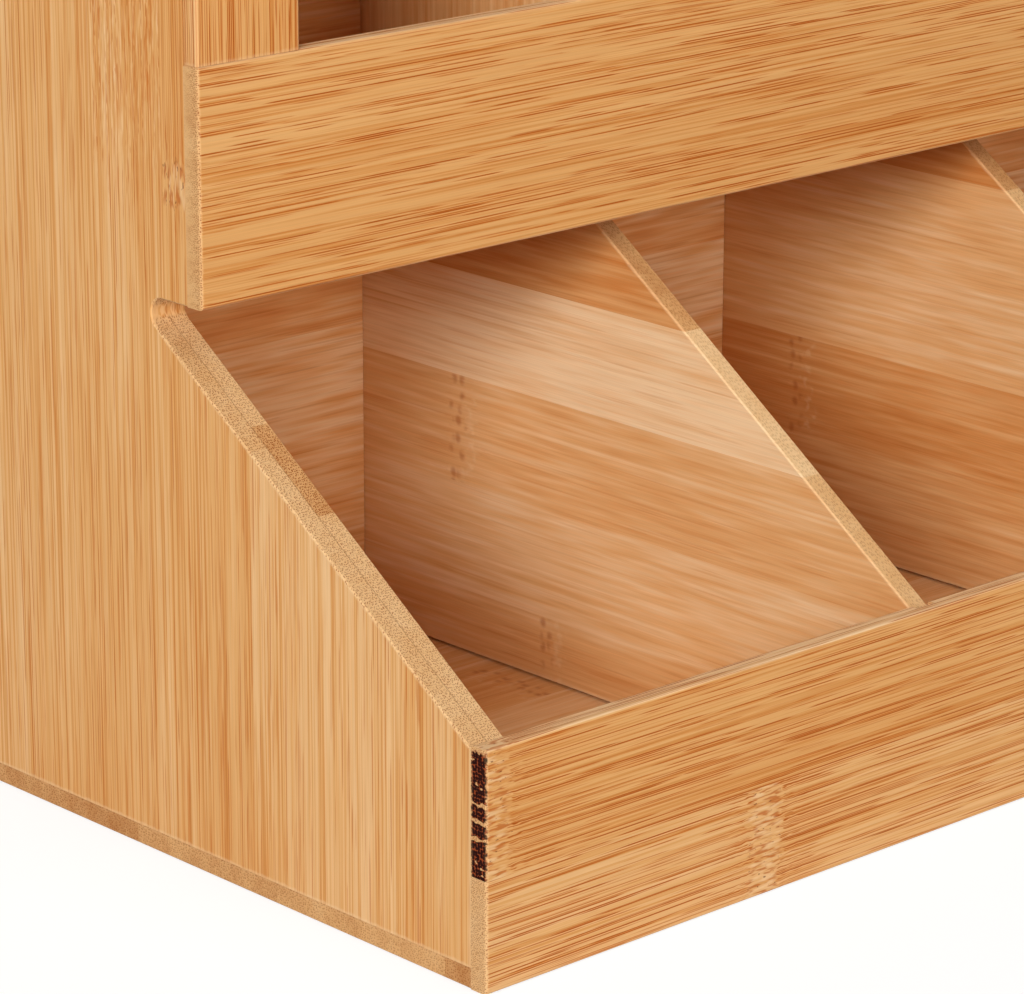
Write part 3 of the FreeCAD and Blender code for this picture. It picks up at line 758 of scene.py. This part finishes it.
# The back panel's redder palette and raised tone are painted warm bounce light.
dress("back_panel", grain="X", width="Z", seed=13, strips=BACK_STRIPS, shade=0.13, **BOUNCE_WARMED)

# Tray dividers.
dress("tray_divider_1", grain="Y", width="Z", seed=15, strips=DIVIDER_1_STRIPS, shade=0.20, **TRAY_DIVIDER)
dress("tray_divider_2", grain="Y", width="Z", seed=17, strips=DIVIDER_2_STRIPS, shade=0.16, **TRAY_DIVIDER)

# Windows, cells and lid, with strips by chance.
dress("end_stile_left", grain="Z", width="X", seed=19, **END_STILE)
for node, seed in (("mid_stile_1", 20), ("mid_stile_2", 22), ("end_stile_right", 23)):
    dress(node, grain="Z", width="X", seed=seed, **FRONT)
dress("top_rail", grain="X", width="Z", seed=25, **FRONT)
dress("shelf_panel", grain="X", width="Y", seed=27, **CELL)
for node, seed in (("cell_divider_1", 29), ("cell_divider_2", 31)):
    dress(node, grain="Z", width="Y", seed=seed, **CELL)
dress("lid_panel", grain="X", width="Y", seed=33, cores=0.7,
      inner=chance_strips(77, low=-14.8, high=80.0, g_low=-160.0, g_high=160.0))


# Brass hinges and screws.

def brass(name, seed, colours):
    """Satin brass: faint brushing along X, a few dull patches and tiny casting marks."""
    dark, middle, light = colours
    n = Graph(name)
    coords = n.add("ShaderNodeTexCoord")
    place = n.stretch(coords.outputs["Object"], (1.0 / MM,) * 3)
    brush = n.noise(place, (0.25, 6.0, 6.0), seed, 2.0)
    dull = n.noise(place, (0.22, 0.3, 0.3), seed + 1.1, 2.0)
    marks = n.step(n.noise(place, (2.2, 2.2, 2.2), seed + 2.3), 0.45, 0.75)
    level = n.sum(0.55, (brush, 0.20), (dull, 0.45), (marks, -0.35))
    colour = n.ramp(level, ((0.0, dark), (0.5, middle), (1.0, light))).outputs["Color"]
    roughness = n.sum(0.34, (brush, 0.06), (dull, -0.12), (marks, 0.15))
    height = n.sum((brush, 0.5), (marks, -1.0))
    return n.surface(colour, roughness, height, 0.02, 0.6, Metallic=1.0)


HARDWARE = brass("hinge_brass", 41.0, HINGE_BRASS)
SCREWS = brass("screw_brass", 47.0, SCREW_BRASS)
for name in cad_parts:
    if name.startswith("hinge_screws"):
        put(name, SCREWS)
    elif name.startswith("hinge_"):
        put(name, HARDWARE)


# Floor, light and camera.

AMBIENT = 0.06
FLOOR_SIZE = 8.0
# The floor lies this far under the object, in metres.
FLOOR_DROP = 0.0002
# Floor as the camera sees it: its glow by the object and far away, and where the one turns into the other.
GLOW_NEAR, GLOW_FAR = 0.78, 1.0
GLOW_START, GLOW_END = 0.4, 1.8

# Lamps: name, place in metres, size in metres and power in watts.
LAMPS = (
    ("key", (-1.92, -1.22, 0.97), 0.8, 47.0),
    ("fill", (-0.30, -2.2, 0.50), 0.9, 11.5),
    ("top", (0.0, -0.9, 2.2), 1.4, 11.0),
    ("rear", (1.5, 1.7, 0.9), 1.2, 22.0),
)
LAMP_TARGET = (0.0, 0.0, 0.12)

# The photograph's viewpoint, worked out from the object's own edges: angles in degrees, place in metres,
# focal length and width of the picture in pixels.
YAW, PITCH, ROLL = 42.70054, 17.27395, 0.12604
EYE = (-0.649129, -0.613155, 0.313136)
FOCAL_PIXELS = 4497.804
PICTURE_PIXELS = 1024.0
# Width of the camera's sensor in millimetres, and the nearest and farthest place that it sees in metres.
SENSOR = 36.0
NEAR_CLIP, FAR_CLIP = 0.05, 50.0


def seen_directly(tree):
    """1 for rays from the camera, from reflections and through glass, else 0."""
    path = tree.nodes.new("ShaderNodeLightPath")
    value = path.outputs["Is Camera Ray"]
    for ray in ("Is Glossy Ray", "Is Transmission Ray"):
        either = tree.nodes.new("ShaderNodeMath")
        either.operation = "MAXIMUM"
        tree.links.new(value, either.inputs[0])
        tree.links.new(path.outputs[ray], either.inputs[1])
        value = either.outputs[0]
    return value


def white_world():
    """White to the camera and to reflections, a soft ambient light to everything else."""
    world = bpy.data.worlds.new("studio")
    bpy.context.scene.world = world
    world.use_nodes = True
    tree = world.node_tree
    tree.nodes.clear()
    soft, plain = (tree.nodes.new("ShaderNodeBackground") for _ in range(2))
    soft.inputs["Color"].default_value = (*LAMP_WHITE, 1.0)
    soft.inputs["Strength"].default_value = AMBIENT
    plain.inputs["Color"].default_value = WHITE
    plain.inputs["Strength"].default_value = 1.0
    pick = tree.nodes.new("ShaderNodeMixShader")
    out = tree.nodes.new("ShaderNodeOutputWorld")
    tree.links.new(seen_directly(tree), pick.inputs[0])
    tree.links.new(soft.outputs[0], pick.inputs[1])
    tree.links.new(plain.outputs[0], pick.inputs[2])
    tree.links.new(pick.outputs[0], out.inputs["Surface"])


def floor_material():
    """Pale floor that the camera and reflections see as white, with the object's shadow kept."""
    n = Graph("floor_white")
    bouncing = n.add("ShaderNodeBsdfDiffuse")
    bouncing.inputs["Color"].default_value = BOUNCING_FLOOR
    shadowed = n.add("ShaderNodeBsdfDiffuse")
    shadowed.inputs["Color"].default_value = SHADOWED_FLOOR
    glow = n.add("ShaderNodeEmission")
    glow.inputs["Color"].default_value = WHITE
    coords = n.add("ShaderNodeTexCoord")
    away = n.add("ShaderNodeVectorMath", operation="LENGTH")
    n.feed(away.inputs[0], coords.outputs["Object"])
    n.feed(glow.inputs["Strength"], n.step(away.outputs["Value"], GLOW_START, GLOW_END, GLOW_NEAR, GLOW_FAR))
    seen = n.add("ShaderNodeAddShader")
    n.feed_all(seen.inputs, (shadowed.outputs[0], glow.outputs[0]))
    pick = n.add("ShaderNodeMixShader")
    n.feed_all(pick.inputs, (seen_directly(n.tree), bouncing.outputs[0], seen.outputs[0]))
    out = n.add("ShaderNodeOutputMaterial")
    n.feed(out.inputs["Surface"], pick.outputs[0])
    return n.material


def floor():
    mesh = bpy.data.meshes.new("floor")
    half = FLOOR_SIZE / 2.0
    corners = [(x, y, -FLOOR_DROP) for x, y in ((-half, -half), (half, -half), (half, half), (-half, half))]
    mesh.from_pydata(corners, [], [(0, 1, 2, 3)])
    mesh.materials.append(floor_material())
    plane = bpy.data.objects.new("floor", mesh)
    bpy.context.scene.collection.objects.link(plane)


def soft_box(name, place, size, power):
    """Square area light at place, facing the object."""
    lamp = bpy.data.lights.new(name, "AREA")
    lamp.shape = "SQUARE"
    lamp.size = size
    lamp.energy = power
    lamp.color = LAMP_WHITE
    holder = bpy.data.objects.new(name, lamp)
    holder.location = place
    holder.rotation_euler = (Vector(LAMP_TARGET) - Vector(place)).to_track_quat("-Z", "Y").to_euler()
    bpy.context.scene.collection.objects.link(holder)


def camera():
    """Camera at the photograph's viewpoint."""
    yaw, pitch, roll = radians(YAW), radians(PITCH), radians(ROLL)
    ahead = Vector((sin(yaw) * cos(pitch), cos(yaw) * cos(pitch), -sin(pitch)))
    level = Vector((cos(yaw), -sin(yaw), 0.0))
    upright = level.cross(ahead)
    right = level * cos(roll) + upright * sin(roll)
    up = upright * cos(roll) - level * sin(roll)
    lens = bpy.data.cameras.new("camera")
    lens.sensor_fit = "HORIZONTAL"
    lens.sensor_width = SENSOR
    lens.lens = FOCAL_PIXELS / PICTURE_PIXELS * SENSOR
    lens.clip_start = NEAR_CLIP
    lens.clip_end = FAR_CLIP
    viewer = bpy.data.objects.new("camera", lens)
    axes = Matrix((right, up, -ahead)).transposed().to_4x4()
    viewer.matrix_world = Matrix.Translation(EYE) @ axes
    bpy.context.scene.collection.objects.link(viewer)
    bpy.context.scene.camera = viewer


white_world()
floor()
for lamp in LAMPS:
    soft_box(*lamp)
camera()
bpy.context.scene.view_settings.view_transform = "Standard"
